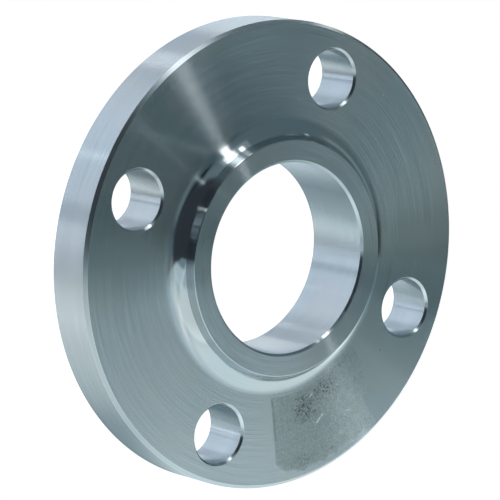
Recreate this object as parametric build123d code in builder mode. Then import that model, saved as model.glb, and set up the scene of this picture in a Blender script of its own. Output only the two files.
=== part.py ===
"""Slip-on pipe flange, raised face, nominal size NPS 2 (DN 50), Class 150.

One forged blank, turned all over and drilled: a flat disc with a low tapered
hub on one side, a shallow raised sealing face on the other, a straight bore
for the pipe and four bolt holes that straddle the centre lines.

Frame: the origin is the centre of the raised face, +Z runs along the bore
axis, from the sealing face through the disc to the hub. Millimetres.
"""
from build123d import *
import math
import os

os.makedirs("parts", exist_ok=True)

# ---- driving dimensions -------------------------------------------------
outer_dia = 152.4          # flange outside diameter
overall_thk = 19.05        # sealing face to hub-side face of the disc
through_length = 25.4      # sealing face to hub top: length through the hub

raised_face_dia = 92.1     # sealing face
raised_face_height = 1.6

bore_dia = 62.0            # slips over 60.3 mm pipe
bore_chamfer_hub = 0.75
bore_chamfer_face = 1.0

hub_top_dia = 76.6         # hub at its flat annular top
hub_kink_dia = 78.6        # where the hub's taper runs into the root fillet
hub_kink_height = 3.4      # of that circle, above the disc
hub_root_dia = 91.2        # where the root fillet runs out on the disc
hub_top_break = 0.25       # hub's top edge, just broken

bolt_circle_dia = 120.65
bolt_hole_dia = 19.05
bolt_hole_count = 4
bolt_hole_angle = 45.0     # holes straddle the centre lines
bolt_hole_chamfer_hub = 0.72
bolt_hole_chamfer_face = 1.0

rim_chamfer_hub = 1.1
rim_chamfer_face = 1.0
raised_face_break = 0.2

# ---- derived ------------------------------------------------------------
outer_r = outer_dia / 2
disc_z0 = raised_face_height      # back of the disc, outside the raised face
disc_z1 = overall_thk             # hub-side face of the disc
hub_z = through_length

root_r = hub_root_dia / 2
kink_r = hub_kink_dia / 2
# The root fillet leaves the disc tangentially and meets the taper at the
# kink circle: its radius follows from the two points.
root_run = root_r - kink_r
root_radius = (root_run**2 + hub_kink_height**2) / (2 * hub_kink_height)
root_sweep = math.degrees(math.asin(root_run / root_radius))
if hub_kink_height > root_radius:
    root_sweep = 180.0 - root_sweep


def near(value, target, tolerance=0.02):
    return abs(value - target) < tolerance


# ---- flange -------------------------------------------------------------
with BuildPart() as flange:
    # turned blank: half section in XZ, swept about Z
    with BuildSketch(Plane.XZ) as half_section:
        with BuildLine() as outline:
            foot = Polyline(
                (0, 0),
                (raised_face_dia / 2, 0),
                (raised_face_dia / 2, disc_z0),
                (outer_r, disc_z0),
                (outer_r, disc_z1),
                (root_r, disc_z1),
            )
            root = JernArc(
                start=foot @ 1,
                tangent=(-1, 0),
                radius=root_radius,
                arc_size=-root_sweep,
            )
            taper = Line(root @ 1, (hub_top_dia / 2, hub_z))
            crown = Line(taper @ 1, (0, hub_z))
            Line(crown @ 1, foot @ 0)
        make_face()
    revolve(axis=Axis.Z)

    # rim, hub and sealing-face edges
    circles = flange.edges().filter_by(GeomType.CIRCLE)
    rim = circles.filter_by(lambda e: near(e.radius, outer_r)).sort_by(Axis.Z)
    chamfer(rim[-1], length=rim_chamfer_hub)
    circles = flange.edges().filter_by(GeomType.CIRCLE)
    rim = circles.filter_by(lambda e: near(e.radius, outer_r)).sort_by(Axis.Z)
    chamfer(rim[0], length=rim_chamfer_face)
    circles = flange.edges().filter_by(GeomType.CIRCLE)
    step_edge = circles.filter_by(
        lambda e: near(e.radius, raised_face_dia / 2)
    ).sort_by(Axis.Z)
    chamfer(step_edge[0], length=raised_face_break)
    circles = flange.edges().filter_by(GeomType.CIRCLE)
    hub_edge = circles.filter_by(lambda e: near(e.radius, hub_top_dia / 2))
    fillet(hub_edge.sort_by(Axis.Z)[-1], radius=hub_top_break)

    # bore, chamfered at both mouths
    with Locations((0, 0, hub_z)):
        Hole(radius=bore_dia / 2)
    bore_edges = (
        flange.edges()
        .filter_by(GeomType.CIRCLE)
        .filter_by(lambda e: near(e.radius, bore_dia / 2))
        .sort_by(Axis.Z)
    )
    chamfer(bore_edges[-1], length=bore_chamfer_hub)
    bore_edges = (
        flange.edges()
        .filter_by(GeomType.CIRCLE)
        .filter_by(lambda e: near(e.radius, bore_dia / 2))
        .sort_by(Axis.Z)
    )
    chamfer(bore_edges[0], length=bore_chamfer_face)

    # bolt holes, square to the disc
    with Locations((0, 0, disc_z1)):
        with PolarLocations(
            bolt_circle_dia / 2, bolt_hole_count, start_angle=bolt_hole_angle
        ):
            Hole(radius=bolt_hole_dia / 2)
    hole_edges = (
        flange.edges()
        .filter_by(GeomType.CIRCLE)
        .filter_by(lambda e: near(e.radius, bolt_hole_dia / 2))
    )
    chamfer(
        hole_edges.filter_by(lambda e: near(e.center().Z, disc_z1)),
        length=bolt_hole_chamfer_hub,
    )
    hole_edges = (
        flange.edges()
        .filter_by(GeomType.CIRCLE)
        .filter_by(lambda e: near(e.radius, bolt_hole_dia / 2))
    )
    chamfer(
        hole_edges.filter_by(lambda e: near(e.center().Z, disc_z0)),
        length=bolt_hole_chamfer_face,
    )

flange.part.label = "flange"
export_step(flange.part, "parts/flange.step")

print("root fillet radius", round(root_radius, 3), "sweep", round(root_sweep, 2))
print("volume", round(flange.part.volume, 1), "mm3")
print("faces", len(flange.faces()), "solids", len(flange.solids()))
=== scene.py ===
import math

import bpy
import numpy as np
from mathutils import Matrix, Vector, geometry


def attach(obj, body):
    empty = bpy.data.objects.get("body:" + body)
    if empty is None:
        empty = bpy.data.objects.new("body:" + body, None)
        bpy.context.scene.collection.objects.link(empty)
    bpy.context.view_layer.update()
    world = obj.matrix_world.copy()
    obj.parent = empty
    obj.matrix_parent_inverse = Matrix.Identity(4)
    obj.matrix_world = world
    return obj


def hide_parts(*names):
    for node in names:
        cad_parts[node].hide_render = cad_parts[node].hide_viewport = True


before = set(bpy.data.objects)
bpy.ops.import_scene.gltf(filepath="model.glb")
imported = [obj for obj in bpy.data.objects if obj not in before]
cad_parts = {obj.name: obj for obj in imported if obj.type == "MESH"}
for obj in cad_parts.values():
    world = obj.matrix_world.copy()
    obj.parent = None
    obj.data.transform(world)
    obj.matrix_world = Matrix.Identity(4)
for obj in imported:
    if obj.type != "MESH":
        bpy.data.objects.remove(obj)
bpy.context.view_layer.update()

MM = 0.001

# --------------------------------------------------------------------------
# Dimensions of the flange, in millimetres, as the frame has them
# --------------------------------------------------------------------------
R_OUT = 76.2          # outside radius
R_RF = 46.05          # raised sealing face
R_BORE = 31.0
R_PCD = 60.325        # bolt circle
R_HOLE = 9.525
Z_BACK = 1.6          # back of the disc outside the raised face
Z_FACE = 19.05        # hub-side face of the disc
Z_HUB = 25.4          # hub top
C_RIM, C_RIM_BACK = 1.1, 1.0
C_BORE, C_BORE_BACK = 0.75, 1.0
C_HOLE, C_HOLE_BACK = 0.72, 1.0
R_ROOT = 45.6         # the root fillet runs out on the disc here
R_KINK, Z_KINK = 39.3, Z_FACE + 3.4
R_HUB = 38.3
SEG = 480             # facets round the flange
HSEG = 112            # facets round a bolt hole

# The photo's own directions on the face: U points to the photo's left, W to
# its bottom. The frame's X axis is turned by TURN from U.
TURN = math.radians(-28.1932)
U = np.array([math.cos(TURN), math.sin(TURN), 0.0])
W = np.array([-math.sin(TURN), math.cos(TURN), 0.0])
N = np.array([0.0, 0.0, 1.0])


def place(u, w, n=0.0):
    """A point given along U, W and above the hub-side face, in metres."""
    p = U * u + W * w + N * (n + Z_FACE * MM)
    return Vector(p)


# --------------------------------------------------------------------------
# Camera: the photo's viewing angle and lens
# --------------------------------------------------------------------------
cam_data = bpy.data.cameras.new("camera")
cam_data.sensor_width = 36.0
cam_data.lens = 244.015
cam_data.clip_start = 0.05
cam_data.clip_end = 50.0
cam = bpy.data.objects.new("camera", cam_data)
bpy.context.scene.collection.objects.link(cam)
right = Vector((-0.72061, 0.29266, 0.62860)).normalized()
up = Vector((-0.46839, -0.87389, -0.13010))
up = (up - right * up.dot(right)).normalized()
back = right.cross(up)
cam.matrix_world = Matrix.Translation((0.5630, -0.4277, 0.8503)) @ Matrix(
    ((right.x, up.x, back.x), (right.y, up.y, back.y), (right.z, up.z, back.z))
).to_4x4()
bpy.context.scene.camera = cam


# --------------------------------------------------------------------------
# Smooth noise in numpy, for relief that is real geometry
# --------------------------------------------------------------------------
def lattice(ix, iy, seed):
    h = (ix.astype(np.int64) * 374761393 + iy.astype(np.int64) * 668265263
         + seed * 974634777) & 0xFFFFFFFF
    h = ((h ^ (h >> 13)) * 1274126177) & 0xFFFFFFFF
    h = h ^ (h >> 16)
    return (h & 0xFFFFFF) / float(0xFFFFFF)


def noise2(x, y, seed):
    x0, y0 = np.floor(x), np.floor(y)
    fx, fy = x - x0, y - y0
    fx, fy = fx * fx * (3 - 2 * fx), fy * fy * (3 - 2 * fy)
    a = lattice(x0, y0, seed)
    b = lattice(x0 + 1, y0, seed)
    c = lattice(x0, y0 + 1, seed)
    d = lattice(x0 + 1, y0 + 1, seed)
    return (a * (1 - fx) + b * fx) * (1 - fy) + (c * (1 - fx) + d * fx) * fy


def fbm(x, y, seed, octaves=4):
    total, amp, norm = 0.0, 1.0, 0.0
    for o in range(octaves):
        total = total + amp * noise2(x * 2**o, y * 2**o, seed + 17 * o)
        norm += amp
        amp *= 0.5
    return total / norm


def smooth(a, b, x):
    t = np.clip((x - a) / (b - a), 0, 1)
    return t * t * (3 - 2 * t)


# --------------------------------------------------------------------------
# Relief of the hub-side face: a rubbed patch with pits and a few scratches
# --------------------------------------------------------------------------
PITS = [  # phi (deg), r (mm), radius (mm), depth (mm)
    (109.2, 49.6, 0.60, 0.07), (111.4, 52.4, 0.50, 0.06), (108.6, 53.4, 0.55, 0.06),
    (112.6, 55.6, 0.50, 0.06), (110.4, 57.4, 0.45, 0.05), (117.8, 50.2, 0.55, 0.05),
    (124.9, 48.4, 0.50, 0.04), (129.1, 70.4, 0.60, 0.07), (130.1, 71.6, 0.45, 0.05),
    (131.9, 74.0, 0.55, 0.07), (133.3, 55.8, 0.60, 0.07), (132.4, 56.5, 0.50, 0.06),
    (130.5, 47.9, 0.55, 0.06), (116.0, 70.7, 0.60, 0.04), (147.0, 57.8, 0.45, 0.06),
    (61.3, 51.7, 0.40, 0.05), (265.2, 50.9, 0.30, 0.04), (233.0, 66.5, 0.28, 0.04),
]
SCRATCHES = [  # u0, w0, u1, w1 (mm), half width (mm), depth (mm), how strong the painted highlight along it is
    (-23.1, 55.4, -25.4, 52.6, 0.34, 0.06, 0.75),
    (-19.3, 46.6, -20.2, 45.7, 0.36, 0.05, 0.60),
    (-35.6, 51.6, -37.2, 51.5, 0.32, 0.05, 0.65),
    (-34.6, 46.9, -36.6, 46.4, 0.40, 0.02, 0.20),
    (-31.4, 60.8, -34.0, 58.9, 0.60, 0.02, 0.16),
]


def wear_mask(phi, r):
    """1 inside the rubbed patch, 0 outside, from the angle and the radius."""
    ragged = fbm(phi * 0.55, r * 0.22, 5, 4) - 0.5
    left = patch_left(r)
    left = smooth(left - 0.35 + ragged * 0.8, left + 0.45 + ragged * 0.8, phi)
    end = np.interp(r, [50, 57, 63, 70, 75], [138.0, 134.5, 131.5, 129.5, 128.5])
    right_ = 1 - smooth(end - 5, end + 3.5, phi + ragged * 7)
    inner = smooth(46.0, 47.2, r + ragged * 1.2)
    rim = np.interp(phi, [95, 96.3, 98, 101, 104, 125, 131], [66.5, 69.0, 71.1, 72.4, 73.3, 73.0, 74.6])
    outer = 1 - smooth(rim - 0.9, rim + 0.7, r + ragged * 2.2)
    return left * right_ * inner * outer


def patch_left(r):
    return np.interp(r, [46, 50.5, 60, 69, 75], [93.2, 94.4, 95.5, 96.3, 96.6])


def relief(u, w):
    """Height of the hub-side face in mm at u, w, and how rubbed and pitted it is, how
    strong the painted highlight along its scratches is and how crowded with pits."""
    r = np.hypot(u, w)
    phi = np.degrees(np.arctan2(w, u)) % 360
    wear = wear_mask(phi, r)
    h = -0.003 * wear
    grain = fbm(u * 0.9, w * 0.9, 31, 3) - 0.5
    h = h + 0.006 * grain * wear
    pit = np.zeros_like(u)
    for k, (pp, pr, rad, dep) in enumerate(PITS):
        a = math.radians(pp)
        cu, cw = pr * math.cos(a), pr * math.sin(a)
        near = np.hypot(u - cu, w - cw) < rad * 4
        if not near.any():
            continue
        # each is a little longer one way, and ragged
        lean = 2.4 * lattice(np.array([k]), np.array([3]), 7)[0]
        du, dw = u[near] - cu, w[near] - cw
        du, dw = du * math.cos(lean) + dw * math.sin(lean), dw * math.cos(lean) - du * math.sin(lean)
        wob = 1 + 1.2 * (fbm(u[near] * 1.7 + k, w[near] * 1.7, 50 + k, 2) - 0.5)
        d = np.hypot(du, dw * 1.8) / (rad * wob)
        g = np.exp(-(d ** 2) * 1.4)
        pit[near] = np.maximum(pit[near], g * min(1.0, dep / 0.09))
        h[near] = h[near] - dep * g
    # pits crowd together near the patch's inner left part, less elsewhere
    crowd = np.exp(-(((phi - 109.5) / 6.0) ** 2 + ((r - 53.5) / 5.0) ** 2) * 0.9)
    crowd = np.maximum(crowd, 0.78 * np.exp(-(((phi - 120) / 9) ** 2 + ((r - 50.5) / 4.0) ** 2)))
    crowd = np.maximum(crowd, 0.90 * np.exp(-(((phi - 129.5) / 3.5) ** 2 + ((r - 71.5) / 2.6) ** 2)))
    crowd = np.maximum(crowd, 0.60 * np.exp(-(((phi - 105) / 5) ** 2 + ((r - 70.0) / 2.6) ** 2)))
    crowd = crowd * np.clip(wear * 1.5, 0, 1)
    worm = 1 - np.abs(fbm(u * 0.62 + 9, w * 0.62, 77, 3) * 2 - 1) * 5.0
    h = h - 0.030 * np.clip(worm, 0, 1) * crowd
    # the rubbed patch's left border is a shallow dark line
    ragged = fbm(phi * 0.55, r * 0.22, 5, 4) - 0.5
    line = np.exp(-((phi - patch_left(r) - 0.25 - ragged * 0.8) / 0.50) ** 2)
    line = line * smooth(46.4, 48.0, r) * (1 - smooth(54, 68, r))
    h = h - 0.015 * line
    pit = np.maximum(pit, 0.42 * line)
    # painted highlight: each scratch gets a lighter colour along its middle, up to near white, standing in for the
    # light it catches
    scratch_highlight = np.zeros_like(u)
    for (u0, w0, u1, w1, hw, dep, highlight_strength) in SCRATCHES:
        d = np.array([u1 - u0, w1 - w0])
        length = np.hypot(*d)
        t = ((u - u0) * d[0] + (w - w0) * d[1]) / length**2
        tc = np.clip(t, 0, 1)
        dist = np.hypot(u - u0 - tc * d[0], w - w0 - tc * d[1])
        g = np.exp(-((dist / (hw * (0.75 + 0.25 * tc))) ** 2))
        h = h - dep * g
        scratch_highlight = np.maximum(scratch_highlight, g * highlight_strength)
    return h, wear, pit, scratch_highlight, crowd


# --------------------------------------------------------------------------
# Mesh: one closed skin with exact normals
# --------------------------------------------------------------------------
class Skin:
    def __init__(self):
        self.index = {}
        self.co = []
        self.faces = []
        self.normals = []
        self.mats = []

    def vert(self, p):
        key = (round(p[0] * 1e5), round(p[1] * 1e5), round(p[2] * 1e5))
        i = self.index.get(key)
        if i is None:
            i = len(self.co)
            self.index[key] = i
            self.co.append((p[0], p[1], p[2]))
        return i

    def face(self, idx, nor, mat):
        p = [np.array(self.co[i]) for i in idx[:3]]
        g = np.cross(p[1] - p[0], p[2] - p[0])
        m = np.sum(np.array(nor), axis=0)
        if g @ m < 0:
            idx, nor = idx[::-1], nor[::-1]
        self.faces.append(tuple(idx))
        self.normals.extend(nor)
        self.mats.append(mat)


skin = Skin()
MATS = {}


def mat_id(name):
    return MATS.setdefault(name, len(MATS))


ANG = np.arange(SEG) * (2 * math.pi / SEG)
CA, SA = np.cos(ANG), np.sin(ANG)


def ring(r, z):
    return [skin.vert((r * CA[i], r * SA[i], z)) for i in range(SEG)]


def lathe(points, normals, mat):
    """points [(r, z)], normals [(nr, nz)] at each of them."""
    m = mat_id(mat)
    rings = [ring(r, z) for r, z in points]
    for k in range(len(points) - 1):
        a, b = rings[k], rings[k + 1]
        na, nb = normals[k], normals[k + 1]
        for i in range(SEG):
            j = (i + 1) % SEG
            skin.face(
                [a[i], a[j], b[j], b[i]],
                [(na[0] * CA[i], na[0] * SA[i], na[1]),
                 (na[0] * CA[j], na[0] * SA[j], na[1]),
                 (nb[0] * CA[j], nb[0] * SA[j], nb[1]),
                 (nb[0] * CA[i], nb[0] * SA[i], nb[1])],
                m,
            )


def straight(a, b, normal, mat, steps=1):
    pts = [(a[0] + (b[0] - a[0]) * t / steps, a[1] + (b[1] - a[1]) * t / steps)
           for t in range(steps + 1)]
    lathe(pts, [normal] * len(pts), mat)


def unit(x, y):
    d = math.hypot(x, y)
    return (x / d, y / d)


def corner(prev, here, nxt, size, mat, steps=3):
    """A small rounded break on the profile's corner. Returns its two ends."""
    d0 = unit(prev[0] - here[0], prev[1] - here[1])
    d1 = unit(nxt[0] - here[0], nxt[1] - here[1])
    a = (here[0] + d0[0] * size, here[1] + d0[1] * size)
    b = (here[0] + d1[0] * size, here[1] + d1[1] * size)
    # the profile runs with the metal on its right; outward is to the left
    n0 = (d0[1], -d0[0])
    n1 = (-d1[1], d1[0])
    pts, nor = [], []
    for k in range(steps + 1):
        t = k / steps
        p = ((1 - t) ** 2 * a[0] + 2 * t * (1 - t) * here[0] + t * t * b[0],
             (1 - t) ** 2 * a[1] + 2 * t * (1 - t) * here[1] + t * t * b[1])
        pts.append(p)
        nor.append(unit(n0[0] * (1 - t) + n1[0] * t, n0[1] * (1 - t) + n1[1] * t))
    lathe(pts, nor, mat)
    return a, b


# Profile, walked with the metal on the right: bore wall up, over the hub, out
# along the disc, down the rim, in along the back and the sealing face.
E = 0.10   # break on the turned edges
s2 = math.sqrt(0.5)
P = {
    "bore_lo": (R_BORE, C_BORE_BACK),
    "bore_hi": (R_BORE, Z_HUB - C_BORE),
    "crown_in": (R_BORE + C_BORE, Z_HUB),
    "crown_out": (R_HUB, Z_HUB),
    "kink": (R_KINK, Z_KINK),
    "root": (R_ROOT, Z_FACE),
    "face_out": (R_OUT - C_RIM, Z_FACE),
    "rim_hi": (R_OUT, Z_FACE - C_RIM),
    "rim_lo": (R_OUT, Z_BACK + C_RIM_BACK),
    "back_out": (R_OUT - C_RIM_BACK, Z_BACK),
    "step_in": (R_RF, Z_BACK),
    "step_lo": (R_RF, 0.2),
    "rf_out": (R_RF - 0.2, 0.0),
    "rf_in": (R_BORE + C_BORE_BACK, 0.0),
}

# bore, its mouth chamfers and the hub's crown
a1, b1 = corner(P["bore_lo"], P["bore_hi"], P["crown_in"], E, "edge")
a2, b2 = corner(P["bore_hi"], P["crown_in"], P["crown_out"], E, "edge")
straight(b1, a2, (-s2, s2), "chamfer")
a3, b3 = corner(P["crown_in"], P["crown_out"], P["kink"], 0.24, "hub", 4)
straight(b2, a3, (0, 1), "crown", 3)
taper_n = unit(Z_HUB - Z_KINK, R_KINK - R_HUB)
# the taper and the root fillet meet in a fine line
straight(b3, P["kink"], taper_n, "hub", 2)
run, rise = R_ROOT - R_KINK, Z_KINK - Z_FACE
rad = (run**2 + rise**2) / (2 * rise)
sweep = math.asin(run / rad)
arc_p, arc_n = [], []
STEPS = 22
for k in range(STEPS + 1):
    t = sweep * (1 - k / STEPS)
    arc_p.append((R_ROOT - rad * math.sin(t), Z_FACE + rad - rad * math.cos(t)))
    arc_n.append((math.sin(t), math.cos(t)))
arc_p[0], arc_p[-1] = P["kink"], P["root"]
lathe(arc_p, arc_n, "fillet")

# rim
a4, b4 = corner(P["root"], P["face_out"], P["rim_hi"], E, "edge")
a5, b5 = corner(P["face_out"], P["rim_hi"], P["rim_lo"], E, "edge")
straight(b4, a5, (s2, s2), "rim_chamfer")
a6, b6 = corner(P["rim_hi"], P["rim_lo"], P["back_out"], E, "edge")
straight(b5, a6, (1, 0), "rim", 4)
a7, b7 = corner(P["rim_lo"], P["back_out"], P["step_in"], E, "edge")
straight(b6, a7, (s2, -s2), "rim_chamfer")

# raised sealing face: a turned serration of round-nosed cuts
a8, b8 = corner(P["step_in"], P["step_lo"], P["rf_out"], 0.05, "back", 1)
straight(P["step_in"], a8, (1, 0), "back")
straight(b8, P["rf_out"], (s2, -s2), "back")
pitch, depth = 0.78, 0.05
grooves = int((P["rf_out"][0] - 0.35 - (P["rf_in"][0] + 0.35)) / pitch)
r_g = P["rf_out"][0] - 0.35
straight(P["rf_out"], (r_g, 0.0), (0, -1), "serration")
for g in range(grooves):
    pts, nor = [], []
    for k in range(5):
        t = k / 4
        pts.append((r_g - pitch * t, depth * 4 * t * (1 - t)))
        slope = depth * 4 * (1 - 2 * t) / pitch   # dz along inward travel
        nor.append(unit(-slope, -1.0))
    lathe(pts, nor, "serration")
    r_g -= pitch
a9, b9 = corner((r_g, 0.0), P["rf_in"], P["bore_lo"], E, "edge")
straight((r_g, 0.0), a9, (0, -1), "serration")
a10, b10 = corner(P["rf_in"], P["bore_lo"], P["bore_hi"], E, "edge")
straight(b9, a10, (-s2, -s2), "chamfer")
straight(b10, a1, (-1, 0), "bore", 6)

# bolt holes
HOLES = []
for k in range(4):
    ang = math.radians(45 + 90 * k)
    HOLES.append((R_PCD * math.cos(ang), R_PCD * math.sin(ang)))
HA = np.arange(HSEG) * (2 * math.pi / HSEG)
HC, HS = np.cos(HA), np.sin(HA)


def hole_ring(c, r, z):
    return [skin.vert((c[0] + r * HC[i], c[1] + r * HS[i], z)) for i in range(HSEG)]


def hole_wall(c, pts, nors, mat):
    m = mat_id(mat)
    rings = [hole_ring(c, r, z) for r, z in pts]
    for k in range(len(pts) - 1):
        a, b = rings[k], rings[k + 1]
        na, nb = nors[k], nors[k + 1]
        for i in range(HSEG):
            j = (i + 1) % HSEG
            skin.face(
                [a[i], a[j], b[j], b[i]],
                [(na[0] * HC[i], na[0] * HS[i], na[1]),
                 (na[0] * HC[j], na[0] * HS[j], na[1]),
                 (nb[0] * HC[j], nb[0] * HS[j], nb[1]),
                 (nb[0] * HC[i], nb[0] * HS[i], nb[1])],
                m,
            )


hr = R_HOLE + C_HOLE
hb = R_HOLE + C_HOLE_BACK
for c in HOLES:
    e = 0.07
    k45 = e * s2
    # mouth on the hub side
    pts = [(hr + e, Z_FACE), (hr + e * 0.25, Z_FACE - e * 0.15), (hr - k45, Z_FACE - k45)]
    hole_wall(c, pts, [(0, 1), unit(-0.4, 0.9), (-s2, s2)], "edge")
    pts = [(hr - k45, Z_FACE - k45), (R_HOLE + k45, Z_FACE - C_HOLE + k45)]
    hole_wall(c, pts, [(-s2, s2)] * 2, "hole_chamfer")
    pts = [(R_HOLE + k45, Z_FACE - C_HOLE + k45), (R_HOLE + e * 0.2, Z_FACE - C_HOLE - e * 0.3),
           (R_HOLE, Z_FACE - C_HOLE - e)]
    hole_wall(c, pts, [(-s2, s2), unit(-0.9, 0.4), (-1, 0)], "edge")
    za, zb = Z_FACE - C_HOLE - e, Z_BACK + C_HOLE_BACK + e
    pts = [(R_HOLE, za + (zb - za) * t / 5) for t in range(6)]
    hole_wall(c, pts, [(-1, 0)] * 6, "hole")
    # mouth on the back
    pts = [(R_HOLE, zb), (R_HOLE + e * 0.2, zb - e * 0.7), (R_HOLE + k45, zb - e - k45)]
    hole_wall(c, pts, [(-1, 0), unit(-0.9, -0.4), (-s2, -s2)], "edge")
    pts = [(R_HOLE + k45, zb - e - k45), (hb - k45, Z_BACK + k45)]
    hole_wall(c, pts, [(-s2, -s2)] * 2, "hole_chamfer")
    pts = [(hb - k45, Z_BACK + k45), (hb + e * 0.25, Z_BACK + e * 0.15), (hb + e, Z_BACK)]
    hole_wall(c, pts, [(-s2, -s2), unit(-0.4, -0.9), (0, -1)], "edge")


def disc_face(z, r_in, r_out, r_mouth, up_, mat, with_relief):
    """The flat annulus with four holes, filled with well-shaped triangles."""
    pts, edges = [], []

    def loop(xs, ys):
        first = len(pts)
        count = len(xs)
        pts.extend(zip(xs, ys))
        edges.extend((first + i, first + (i + 1) % count) for i in range(count))

    loop(r_in * CA, r_in * SA)
    loop(r_out * CA, r_out * SA)
    for c in HOLES:
        loop(c[0] + r_mouth * HC, c[1] + r_mouth * HS)
    extra = []
    for k, r in enumerate(np.arange(r_in + 2.0, r_out - 1.2, 2.6)):
        count = int(2 * math.pi * r / 2.6)
        off = (k % 2) * math.pi / count
        for i in range(count):
            a = 2 * math.pi * i / count + off
            extra.append((r * math.cos(a), r * math.sin(a), 1.0))
    if with_relief:
        # the worn sector and the lone pits carry a fine grid of their own
        step = 0.36
        rows = np.arange(r_in + 0.9, r_out - 0.35, step)
        for k, r in enumerate(rows):
            a0, a1_ = math.radians(92.6), math.radians(140.5)
            count = int((a1_ - a0) * r / step)
            for i in range(count + 1):
                a = a0 + (a1_ - a0) * (i + 0.5 * (k % 2)) / (count + 0.5) + TURN
                extra.append((r * math.cos(a), r * math.sin(a), 0.2))
        for (pp, pr, prad, _d) in PITS:
            if 93 < pp < 140:
                continue
            a = math.radians(pp) + TURN
            cx, cy = pr * math.cos(a), pr * math.sin(a)
            extra += [(cx + x * 0.25 + (y % 2) * 0.125, cy + y * 0.22, 0.15)
                      for x in range(-6, 7) for y in range(-7, 8)]
    ex = np.array(extra)
    keep = np.ones(len(ex), bool)
    for c in HOLES:
        keep &= np.hypot(ex[:, 0] - c[0], ex[:, 1] - c[1]) > r_mouth + np.maximum(ex[:, 2], 0.3)
    if with_relief:
        # coarse points keep out of the fine grids
        coarse = ex[:, 2] == 1.0
        phi = (np.degrees(np.arctan2(ex[:, 1], ex[:, 0])) - math.degrees(TURN)) % 360
        keep &= ~(coarse & (phi > 92.2) & (phi < 141))
        for (pp, pr, prad, _d) in PITS:
            a = math.radians(pp) + TURN
            d = np.hypot(ex[:, 0] - pr * math.cos(a), ex[:, 1] - pr * math.sin(a))
            if not 93 < pp < 140:
                keep &= ~(coarse & (d < 2.2))
    ex = ex[keep, :2]
    first_free = len(pts)
    allp = [Vector(p) for p in pts] + [Vector(p) for p in ex]
    out_v, _e, out_f, orig_v, _oe, _of = geometry.delaunay_2d_cdt(allp, edges, [], 0, 1e-5)
    src = [o[0] if o else None for o in orig_v]
    exact = np.array(pts + [tuple(p) for p in ex])   # the mesh library rounds its points
    flat = np.array([exact[s] if s is not None else tuple(v) for s, v in zip(src, out_v)])
    if with_relief:
        def height(x, y):
            return relief(x * U[0] + y * U[1], x * W[0] + y * W[1])
        h, wear, pit, scratch_highlight, crowd = height(flat[:, 0], flat[:, 1])
        d = 0.06
        hx = (height(flat[:, 0] + d, flat[:, 1])[0] - height(flat[:, 0] - d, flat[:, 1])[0]) / (2 * d)
        hy = (height(flat[:, 0], flat[:, 1] + d)[0] - height(flat[:, 0], flat[:, 1] - d)[0]) / (2 * d)
        # the boundary loops and the coarse field stay flat
        free = np.array([s is not None and s >= first_free for s in src])
        h, hx, hy = h * free, hx * free, hy * free
    else:
        h = hx = hy = np.zeros(len(flat))
    m = mat_id(mat)
    ids, nor = [], []
    for k in range(len(flat)):
        ids.append(skin.vert((flat[k, 0], flat[k, 1], z + h[k])))
        q = np.array([-hx[k], -hy[k], 1.0])
        q /= np.linalg.norm(q)
        nor.append((q[0], q[1], up_ * q[2]))
        if with_relief:
            SHADE[ids[-1]] = (wear[k], pit[k], scratch_highlight[k], crowd[k])
    for f in out_f:
        cx = sum(flat[i, 0] for i in f) / 3
        cy = sum(flat[i, 1] for i in f) / 3
        r = math.hypot(cx, cy)
        if not r_in * 0.99995 < r < r_out * 1.00001:
            continue
        if r < r_in and r_in - r > 0.002:
            continue
        if any(math.hypot(cx - c[0], cy - c[1]) < r_mouth * math.cos(math.pi / HSEG) - 1e-4 for c in HOLES):
            continue
        skin.face([ids[i] for i in f], [nor[i] for i in f], m)


SHADE = {}
disc_face(Z_FACE, P["root"][0], a4[0], hr + 0.07, 1, "face", True)
disc_face(Z_BACK, P["step_in"][0], b7[0], hb + 0.07, -1, "back", False)

mesh = bpy.data.meshes.new("flange_finish")
mesh.from_pydata([(x * MM, y * MM, z * MM) for x, y, z in skin.co], [], skin.faces)
mesh.validate(verbose=False, clean_customdata=False)
mesh.polygons.foreach_set("use_smooth", [True] * len(mesh.polygons))
mesh.polygons.foreach_set("material_index", skin.mats)
mesh.normals_split_custom_set([tuple(n) for n in skin.normals])
for layer, name in enumerate(("wear", "pit", "scratch_highlight", "crowd")):
    at = mesh.attributes.new(name, "FLOAT", "POINT")
    vals = np.zeros(len(skin.co), np.float32)
    for i, s in SHADE.items():
        vals[i] = s[layer]
    at.data.foreach_set("value", vals)
mesh.update()
flange = bpy.data.objects.new("flange_finish", mesh)
bpy.context.scene.collection.objects.link(flange)
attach(flange, "root")
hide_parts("flange")


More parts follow.
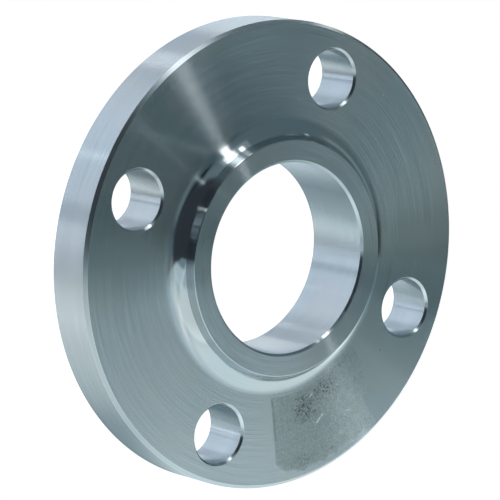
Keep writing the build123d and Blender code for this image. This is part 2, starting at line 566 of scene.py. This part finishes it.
# --------------------------------------------------------------------------
# Materials
# --------------------------------------------------------------------------
class Tree:
    def __init__(self, name):
        self.mat = bpy.data.materials.new(name)
        self.mat.use_nodes = True
        self.t = self.mat.node_tree
        self.t.nodes.clear()
        self.out = self.t.nodes.new("ShaderNodeOutputMaterial")

    def node(self, kind, **settings):
        n = self.t.nodes.new(kind)
        for k, v in settings.items():
            setattr(n, k, v)
        return n

    def link(self, a, b):
        self.t.links.new(a, b)

    def value(self, x, sock):
        if isinstance(x, (int, float)):
            sock.default_value = x
        else:
            self.link(x, sock)

    def math(self, op, a, b=None, c=None, clamp=False):
        n = self.node("ShaderNodeMath", operation=op, use_clamp=clamp)
        self.value(a, n.inputs[0])
        if b is not None:
            self.value(b, n.inputs[1])
        if c is not None:
            self.value(c, n.inputs[2])
        return n.outputs[0]

    def ramp(self, x, lo, hi, to_lo=0.0, to_hi=1.0, smooth_=True):
        n = self.node("ShaderNodeMapRange",
                      interpolation_type="SMOOTHSTEP" if smooth_ else "LINEAR", clamp=True)
        self.value(x, n.inputs["Value"])
        n.inputs["From Min"].default_value = lo
        n.inputs["From Max"].default_value = hi
        n.inputs["To Min"].default_value = to_lo
        n.inputs["To Max"].default_value = to_hi
        return n.outputs["Result"]

    def noise(self, vector, scale, detail=2.0, rough=0.5, distortion=0.0):
        n = self.node("ShaderNodeTexNoise", noise_dimensions="3D")
        self.link(vector, n.inputs["Vector"])
        n.inputs["Scale"].default_value = scale
        n.inputs["Detail"].default_value = detail
        n.inputs["Roughness"].default_value = rough
        n.inputs["Distortion"].default_value = distortion
        return n.outputs["Fac"]

    def xyz(self, x, y, z):
        n = self.node("ShaderNodeCombineXYZ")
        for s, v in zip(n.inputs, (x, y, z)):
            self.value(v, s)
        return n.outputs[0]

    def mix_color(self, fac, a, b):
        n = self.node("ShaderNodeMix", data_type="RGBA")
        self.value(fac, n.inputs["Factor"])
        for s, v in ((n.inputs[6], a), (n.inputs[7], b)):
            if isinstance(v, tuple):
                s.default_value = (*v, 1.0)
            else:
                self.link(v, s)
        return n.outputs[2]

    def attribute(self, name):
        n = self.node("ShaderNodeAttribute", attribute_name=name, attribute_type="GEOMETRY")
        return n.outputs["Fac"]


def coordinates(t):
    """Millimetres in the frame: x, y, z, r and the unit circle's two parts."""
    tc = t.node("ShaderNodeTexCoord")
    sc = t.node("ShaderNodeVectorMath", operation="SCALE")
    t.link(tc.outputs["Object"], sc.inputs[0])
    sc.inputs["Scale"].default_value = 1000.0
    sep = t.node("ShaderNodeSeparateXYZ")
    t.link(sc.outputs[0], sep.inputs[0])
    x, y, z = sep.outputs
    r = t.math("SQRT", t.math("ADD", t.math("MULTIPLY", x, x), t.math("MULTIPLY", y, y)))
    c = t.math("DIVIDE", x, t.math("MAXIMUM", r, 0.001))
    s = t.math("DIVIDE", y, t.math("MAXIMUM", r, 0.001))
    return sc.outputs[0], x, y, z, r, c, s


STEEL = (0.52, 0.585, 0.615)
DULL = ((0.46, 0.52, 0.522), (0.69, 0.775, 0.780))   # the rubbed patch


# Slopes across the tool's grooves and the share of the surface that has them.
# The level one comes last, so that it lies nearest to the material's output.
WIDE = ((0.95, 0.02), (-0.95, 0.02), (0.55, 0.10), (-0.55, 0.10), (0.24, 0.19), (-0.24, 0.19), (0.0, 0.38))
MEDIUM = ((0.50, 0.065), (-0.50, 0.065), (0.22, 0.22), (-0.22, 0.22), (0.0, 0.43))
NARROW = ((0.16, 0.15), (-0.16, 0.15), (0.0, 0.70))
PLAIN = ((0.0, 1.0),)


def turned(name, rough, aniso, along, colour=STEEL, ring=0.03, grooves=MEDIUM, rings=1.0, worn=False,
           grey=0.06, streak=1.0, tangent="turned", vary=1.0, runout=0.0,
           level_share=None):
    """Steel turned in a lathe: fine rings about the axis, told by `along`:
    "r" on a flat face, "z" on a cylinder, "rz" on a fillet or cone. `ring`
    is the height in mm of the tool's path, and `grooves` gives the slopes of
    marks too fine to see, which smear a highlight across them. `level_share`
    (two radii in mm and the share at each) is the part of the metal that lies
    level between the marks, in place of the one in `grooves`."""
    t = Tree(name)
    pos, x, y, z, r, c, s = coordinates(t)
    if along == "r":
        run = r
    elif along == "z":
        run = z
    else:
        run = t.math("SUBTRACT", r, z)
    k = 2.2
    # rings: fast across the tool's path, slow along it
    fine = t.noise(t.xyz(t.math("MULTIPLY", c, k), t.math("MULTIPLY", s, k),
                         t.math("MULTIPLY", run, 1.75 * rings)), 1.0, 3.0, 0.70)
    broad = t.noise(t.xyz(t.math("MULTIPLY", c, 1.1), t.math("MULTIPLY", s, 1.1),
                          t.math("MULTIPLY", run, 0.42 * rings)), 1.0, 2.0, 0.55)
    lines = t.noise(t.xyz(t.math("MULTIPLY", c, 2.4), t.math("MULTIPLY", s, 2.4),
                          t.math("MULTIPLY", run, 3.4 * rings)), 1.0, 1.0, 0.5)
    cloud = t.noise(pos, 0.045, 3.0, 0.55)
    speck = t.noise(pos, 1.3, 2.0, 0.5)
    fine = t.math("ADD", t.math("MULTIPLY", fine, 0.6), t.math("MULTIPLY", lines, 0.4))
    tone = t.math("ADD", t.math("MULTIPLY", t.math("SUBTRACT", fine, 0.5), 0.80 * streak),
                  t.math("ADD", t.math("MULTIPLY", t.math("SUBTRACT", broad, 0.5), 0.16 * streak),
                         t.math("MULTIPLY", t.math("SUBTRACT", cloud, 0.5), grey * 2)))
    tone = t.math("ADD", tone, t.math("MULTIPLY", t.ramp(speck, 0.66, 0.76), -0.05))
    level = t.math("ADD", tone, 0.5, clamp=True)
    dark = tuple(v * 0.80 for v in colour)
    light = tuple(min(1.0, v * 1.20) for v in colour)
    base = t.mix_color(level, dark, light)
    # a faint warm cast in places
    cast = t.ramp(t.noise(t.xyz(t.math("ADD", x, 12.0), y, z), 0.032, 1.0, 0.5), 0.46, 0.66, 0.0, 0.45)
    base = t.mix_color(cast, base, tuple(v * w for v, w in zip(colour, (1.10, 1.00, 0.95))))
    rgh = t.math("ADD", rough, t.math("MULTIPLY", t.math("SUBTRACT", broad, 0.5), 0.10 * vary))
    rgh = t.math("ADD", rgh, t.math("MULTIPLY", t.math("SUBTRACT", cloud, 0.5), 0.06 * vary), clamp=True)
    fan = None
    if runout:
        fan = t.ramp(r, R_ROOT - 2.6, R_ROOT - 0.1)
        rgh = t.math("ADD", rgh, t.math("MULTIPLY", fan, runout))
    height = t.math("MULTIPLY", fine, ring)
    if worn:
        wear = t.attribute("wear")
        pit = t.attribute("pit")
        scratch_highlight = t.attribute("scratch_highlight")
        crowd = t.attribute("crowd")
        mott = t.noise(pos, 0.55, 4.0, 0.6)
        smear = t.noise(t.xyz(t.math("MULTIPLY", x, 0.35), t.math("MULTIPLY", y, 1.4), 0.0), 1.0, 3.0, 0.6)
        # thin winding marks and blots, which crowd between and around the pits
        wind = t.math("ABSOLUTE", t.math("SUBTRACT", t.noise(pos, 0.85, 2.0, 0.5, 0.7), 0.5))
        wind = t.math("SUBTRACT", t.math("MULTIPLY", crowd, 0.050), wind)
        blot = t.noise(t.xyz(t.math("ADD", x, 31.0), y, 4.0), 1.05, 2.0, 0.5, 0.5)
        blot = t.math("SUBTRACT", blot, t.math("SUBTRACT", 0.74, t.math("MULTIPLY", crowd, 0.20)))
        marks = t.math("MAXIMUM", t.ramp(wind, 0.0, 0.022), t.ramp(blot, 0.0, 0.06))
        dark_marks = t.math("MAXIMUM", t.math("MULTIPLY", marks, 0.85), pit)
        # painted glints: specks of lighter colour among the pits, standing in for sparkles of light
        painted_glint = t.ramp(t.noise(t.xyz(x, t.math("ADD", y, 17.0), 9.0), 1.3, 1.0, 0.5), 0.63, 0.72)
        grain = t.noise(pos, 1.7, 2.0, 0.6)
        level = t.math("ADD", t.math("MULTIPLY", grain, 0.45),
                       t.math("ADD", t.math("MULTIPLY", mott, 0.35), t.math("MULTIPLY", smear, 0.2)))
        dull = t.mix_color(t.ramp(level, 0.35, 0.65), DULL[0], DULL[1])
        dull = t.mix_color(t.math("MULTIPLY", painted_glint, t.math("MULTIPLY", crowd, 0.35)), dull, (0.62, 0.66, 0.67))
        dull = t.mix_color(t.math("MULTIPLY", dark_marks, 0.95, clamp=True), dull, (0.115, 0.130, 0.128))
        # painted highlight along the scratches: their colour goes to near white
        dull = t.mix_color(scratch_highlight, dull, (0.92, 0.96, 0.96))
        mask = t.math("MAXIMUM", t.math("MULTIPLY", wear, t.ramp(mott, 0.25, 0.6, 0.80, 1.0)),
                      t.math("MAXIMUM", t.math("MULTIPLY", pit, 1.2), scratch_highlight), clamp=True)
        base = t.mix_color(mask, base, dull)
        rgh = t.math("ADD", rgh, t.math("MULTIPLY", t.math("SUBTRACT", mask, scratch_highlight),
                                     t.math("SUBTRACT", t.ramp(mott, 0.3, 0.7, 0.42, 0.50), rgh)))
        height = t.math("ADD", t.math("MULTIPLY", height, t.math("SUBTRACT", 1.0, t.math("MULTIPLY", mask, 0.6))),
                        t.math("MULTIPLY", t.math("ADD", mott, grain), t.math("MULTIPLY", mask, 0.05)))
    b = t.node("ShaderNodeBump")
    b.inputs["Strength"].default_value = 1.0
    b.inputs["Distance"].default_value = 0.001
    t.link(height, b.inputs["Height"])
    if tangent == "turned":
        along_ring = t.xyz(t.math("MULTIPLY", s, -1.0), c, 0.0)
        across = t.node("ShaderNodeVectorMath", operation="CROSS_PRODUCT")
        t.link(along_ring, across.inputs[0])
        t.link(b.outputs[0], across.inputs[1])
        across = across.outputs[0]
    else:
        along_ring = across = t.xyz(0.0, 0.0, 1.0)
    shader, share = None, 0.0
    for slope, part in grooves:
        p = t.node("ShaderNodeBsdfPrincipled", distribution="MULTI_GGX")
        p.inputs["Metallic"].default_value = 1.0
        t.link(base, p.inputs["Base Color"])
        t.link(rgh, p.inputs["Roughness"])
        p.inputs["Anisotropic"].default_value = aniso
        if tangent == "turned":
            p.inputs["Anisotropic Rotation"].default_value = 0.25
        t.link(along_ring, p.inputs["Tangent"])
        if slope:
            lean = t.node("ShaderNodeVectorMath", operation="MULTIPLY_ADD")
            t.link(across, lean.inputs[0])
            if fan is None:
                lean.inputs[1].default_value = (slope, slope, slope)
            else:
                part_slope = t.math("MULTIPLY", fan, slope)
                t.link(t.xyz(part_slope, part_slope, part_slope), lean.inputs[1])
            t.link(b.outputs[0], lean.inputs[2])
            even = t.node("ShaderNodeVectorMath", operation="NORMALIZE")
            t.link(lean.outputs[0], even.inputs[0])
            t.link(even.outputs[0], p.inputs["Normal"])
        else:
            t.link(b.outputs[0], p.inputs["Normal"])
        share += part
        if shader is None:
            shader = p.outputs[0]
        else:
            mix = t.node("ShaderNodeMixShader")
            if level_share and not slope:
                t.link(t.ramp(r, *level_share, smooth_=False), mix.inputs[0])
            else:
                mix.inputs[0].default_value = part / share
            t.link(shader, mix.inputs[1])
            t.link(p.outputs[0], mix.inputs[2])
            shader = mix.outputs[0]
    t.link(shader, t.out.inputs[0])
    return t.mat


made = {
    "face": turned("steel_face", 0.20, 1.0, "r", worn=True, ring=0.04, streak=1.6, grooves=WIDE,
                   level_share=(46.0, 74.0, 0.54, 0.38)),
    "crown": turned("steel_crown", 0.20, 1.0, "r", ring=0.03, streak=1.6, grooves=WIDE,
                    level_share=(30.0, 40.0, 0.54, 0.54)),
    "fillet": turned("steel_fillet", 0.12, 0.90, "rz", ring=0.0015, streak=0.5, grooves=WIDE, vary=0.4,
                     runout=0.08, level_share=(30.0, 40.0, 0.54, 0.54)),
    "hub": turned("steel_hub", 0.12, 0.90, "rz", ring=0.001, streak=0.5, grooves=PLAIN, vary=0.4),
    "rim": turned("steel_rim", 0.22, 1.0, "z", ring=0.01, rings=0.8),
    "rim_chamfer": turned("steel_rim_chamfer", 0.30, 0.3, "rz", ring=0.003, streak=0.5, grooves=NARROW),
    "chamfer": turned("steel_chamfer", 0.20, 1.0, "rz", ring=0.003, streak=0.5, grooves=NARROW),
    "hole_chamfer": turned("steel_hole_chamfer", 0.20, 0.3, "z", ring=0.002, streak=0.5, tangent="axis",
                           grooves=PLAIN),
    "edge": turned("steel_edge", 0.22, 0.3, "rz", ring=0.0, streak=0.4, grooves=PLAIN,
                   colour=(0.60, 0.66, 0.69)),
    "bore": turned("steel_bore", 0.22, 1.0, "z", ring=0.008),
    "hole": turned("steel_hole", 0.21, 1.0, "z", ring=0.008, rings=1.2, tangent="axis"),
    "back": turned("steel_back", 0.225, 1.0, "r", ring=0.02, streak=1.6, grooves=WIDE, rings=0.8),
    "serration": turned("steel_serration", 0.22, 0.95, "r", ring=0.004, grooves=NARROW),
}
for name in sorted(MATS, key=MATS.get):
    mesh.materials.append(made[name])


# --------------------------------------------------------------------------
# Floor
# --------------------------------------------------------------------------
floor_mesh = bpy.data.meshes.new("floor")
S = 6.0
floor_mesh.from_pydata([(-S, -S, -0.00015), (S, -S, -0.00015), (S, S, -0.00015), (-S, S, -0.00015)],
                       [], [(0, 1, 2, 3)])
floor = bpy.data.objects.new("floor", floor_mesh)
bpy.context.scene.collection.objects.link(floor)
t = Tree("floor_pale")
df = t.node("ShaderNodeBsdfDiffuse")
df.inputs["Color"].default_value = (0.55, 0.55, 0.55, 1)
em = t.node("ShaderNodeEmission")
em.inputs["Color"].default_value = (1, 1, 1, 1)
em.inputs["Strength"].default_value = 1.0
add = t.node("ShaderNodeAddShader")
t.link(df.outputs[0], add.inputs[0])
t.link(em.outputs[0], add.inputs[1])
tr = t.node("ShaderNodeBsdfTransparent")
ge = t.node("ShaderNodeNewGeometry")
mx = t.node("ShaderNodeMixShader")
t.link(ge.outputs["Backfacing"], mx.inputs[0])
t.link(add.outputs[0], mx.inputs[1])
t.link(tr.outputs[0], mx.inputs[2])
t.link(mx.outputs[0], t.out.inputs[0])
floor_mesh.materials.append(t.mat)
floor.visible_glossy = False


# --------------------------------------------------------------------------
# Light: soft panels that neither the camera nor the floor sees. Their light
# adds up where they overlap. Directions are an azimuth from U towards W and a
# tilt from the bore axis, in degrees, about the middle of the hub-side face.
# --------------------------------------------------------------------------
MIDDLE = Z_FACE * MM
EYE = np.array([Vector(U).dot(cam.matrix_world.translation),
                Vector(W).dot(cam.matrix_world.translation),
                cam.matrix_world.translation.z - MIDDLE])


def sheet(name, at, steps, soft, colour, away):
    """A panel over the unit square, whose points `at` gives as u, w, n. It
    fades out about its sides, over `soft` of the square: both sides across,
    then the near and the far one along."""
    fs, f0, f1 = soft
    ss = np.linspace(-fs / 2, 1 + fs / 2, steps + 1)
    ts = np.linspace(-f0 / 2, 1 + f1 / 2, steps + 1)
    vs = [place(*at(i, j, away)) for i in ss for j in ts]
    fs_ = []
    for i in range(steps):
        for j in range(steps):
            k = i * (steps + 1) + j
            fs_.append((k, k + 1, k + steps + 2, k + steps + 1))
    me = bpy.data.meshes.new(name)
    me.from_pydata(vs, [], fs_)
    for which, vals in (("across", [i for i in ss for j in ts]), ("along", [j for i in ss for j in ts])):
        me.attributes.new(which, "FLOAT", "POINT").data.foreach_set("value", np.array(vals, np.float32))
    o = bpy.data.objects.new(name, me)
    bpy.context.scene.collection.objects.link(o)
    q = Tree(name)
    e = q.node("ShaderNodeEmission")
    top = max(colour)
    across, along = q.attribute("across"), q.attribute("along")
    power = top
    for x, at_, width, way in ((across, 0.0, fs, 1), (across, 1.0, fs, -1), (along, 0.0, f0, 1), (along, 1.0, f1, -1)):
        if width:
            power = q.math("MULTIPLY", q.ramp(x, at_ - width / 2, at_ + width / 2, *((0, 1) if way > 0 else (1, 0))), power)
    e.inputs["Color"].default_value = (*(v / top for v in colour), 1)
    q.value(power, e.inputs["Strength"])
    clear = q.node("ShaderNodeBsdfTransparent")
    both = q.node("ShaderNodeAddShader")
    q.link(e.outputs[0], both.inputs[0])
    q.link(clear.outputs[0], both.inputs[1])
    q.link(both.outputs[0], q.out.inputs[0])
    me.materials.append(q.mat)
    o.visible_camera = False
    o.visible_shadow = False
    o.visible_diffuse = False
    return o


def sky(az0, az1, tilt0, tilt1):
    """A part of a dome."""
    def at(s, t, away):
        a = math.radians(az0 + (az1 - az0) * s)
        b = math.radians(tilt0 + (tilt1 - tilt0) * t)
        return (away * math.sin(b) * math.cos(a), away * math.sin(b) * math.sin(a), away * math.cos(b))
    wide, high = az1 - az0, tilt1 - tilt0
    soft = (7 / wide, 6 / high if tilt0 > 0 else 0.0, 6 / high if tilt1 < 180 else 0.0)
    return at, max(6, math.ceil(wide / 15)), soft


def bench(u0, u1, n0, n1):
    """A part of the bench top under the flange's lowest point, in the photo."""
    soft = (0.05 / (u1 - u0), 0.02 / (n1 - n0), 0.02 / (n1 - n0))
    return (lambda s, t, away: (u0 + (u1 - u0) * s, 0.077 + away * 0.001, n0 + (n1 - n0) * t)), 1, soft


def lamp(phi0, phi1, th0, th1):
    """A panel that the root fillet mirrors to the camera at those angles."""
    sweep_ = math.asin((R_ROOT - R_KINK) / rad)

    def at(s, t, away):
        p = math.radians(phi0 + (phi1 - phi0) * s)
        b = math.radians(th0 + (th1 - th0) * t)
        on = min(b, sweep_)
        r = (R_ROOT - rad * math.sin(on)) * MM
        pt = np.array([r * math.cos(p), r * math.sin(p), rad * (1 - math.cos(on)) * MM])
        m = np.array([math.sin(b) * math.cos(p), math.sin(b) * math.sin(p), math.cos(b)])
        v = EYE - pt
        v = v / np.linalg.norm(v)
        return tuple(pt + away * (2 * (v @ m) * m - v))
    return at, 4, (0.4 / (phi1 - phi0), 2 / (th1 - th0), 2 / (th1 - th0))


PANELS = [
    (sky(0, 240, 160, 180), (1.84, 1.90, 2.06)),
    (sky(30, 75, 20, 180), (0.32, 0.33, 0.31)),
    (sky(30, 270, 0, 35), (0.08, 0.13, 0.15)),
    (sky(45, 105, 8, 35), (0.24, 0.17, 0.11)),
    (sky(150, 210, 75, 92), (0.11, 0.13, 0.10)),
    (sky(180, 225, 8, 20), (0.19, 0.21, 0.19)),
    (sky(180, 300, 35, 105), (0.13, 0.18, 0.20)),
    (sky(195, 375, 122, 180), (0.87, 0.98, 1.11)),
    (sky(225, 255, 105, 122), (2.41, 2.40, 2.32)),
    (sky(270, 345, 140, 160), (0.79, 0.79, 0.86)),
    (sky(285, 525, 0, 180), (0.04, 0.05, 0.06)),
    (bench(-0.8, -0.2, 0.56, 0.75), (0.45, 0.55, 0.52)),
    (bench(-0.8, 0.6, -0.3, 0.42), (0.19, 0.27, 0.30)),
    (bench(-0.35, -0.2, -0.02, 0.06), (0.64, 0.71, 0.64)),
    (bench(-0.35, -0.12, -0.3, 0.02), (0.46, 0.56, 0.63)),
    (bench(-0.2, -0.05, 0.06, 0.42), (0.17, 0.20, 0.17)),
    (bench(-0.06, 0.06, 0.12, 0.3), (0.24, 0.26, 0.28)),
    (bench(-0.2, 0.05, -0.02, 0.06), (0.70, 0.73, 0.70)),
    (bench(-0.12, -0.05, -0.3, -0.02), (0.71, 0.72, 0.74)),
    (bench(-0.12, 0.05, 0.06, 0.12), (0.53, 0.52, 0.54)),
    (bench(0.05, 0.45, -0.3, 0.12), (0.31, 0.30, 0.29)),
    (bench(0.15, 0.3, 0.1, 0.46), (0.38, 0.42, 0.44)),
    (lamp(295, 313, 36, 56), (0.13, 0.16, 0.18)),
    (lamp(298.7, 301.3, 44, 56), (2.40, 2.40, 2.40)),
    (lamp(303.5, 311, 40, 66), (1.20, 1.20, 1.20)),
    (lamp(304.5, 310, 56, 70), (2.40, 2.40, 2.40)),
    (lamp(305, 309.2, 20, 56), (2.10, 2.15, 2.20)),
    (lamp(305, 309.4, 12, 20), (0.80, 0.80, 0.80)),
    (lamp(259, 261.5, 45, 64), (5.00, 5.00, 4.80)),
    (lamp(324.4, 325.8, 8, 42), (0.40, 0.45, 0.45)),
    (lamp(335.8, 337.2, 58, 72), (3.00, 3.20, 3.30)),
]
PANEL_NAMES = []
for k, ((at, steps, soft), colour) in enumerate(PANELS):
    PANEL_NAMES.append("panel_%02d" % (k + 1))
    sheet(PANEL_NAMES[-1], at, steps, soft, colour, 1.9 + 0.008 * k)   # no two in one place

world = bpy.data.worlds.new("studio")
bpy.context.scene.world = world
world.use_nodes = True
wt = world.node_tree
wt.nodes.clear()
wo = wt.nodes.new("ShaderNodeOutputWorld")
bg_seen = wt.nodes.new("ShaderNodeBackground")
bg_seen.inputs[0].default_value = (1, 1, 1, 1)
bg_seen.inputs[1].default_value = 1.0
bg_light = wt.nodes.new("ShaderNodeBackground")
bg_light.inputs[0].default_value = (0.80, 0.95, 1.0, 1)
bg_light.inputs[1].default_value = 0.0
lp = wt.nodes.new("ShaderNodeLightPath")
wm = wt.nodes.new("ShaderNodeMixShader")
wt.links.new(lp.outputs["Is Camera Ray"], wm.inputs[0])
wt.links.new(bg_light.outputs[0], wm.inputs[1])
wt.links.new(bg_seen.outputs[0], wm.inputs[2])
wt.links.new(wm.outputs[0], wo.inputs[0])

view = bpy.context.scene.view_settings
view.view_transform = "Standard"
view.look = "None"
view.exposure = 0.0
view.gamma = 1.0
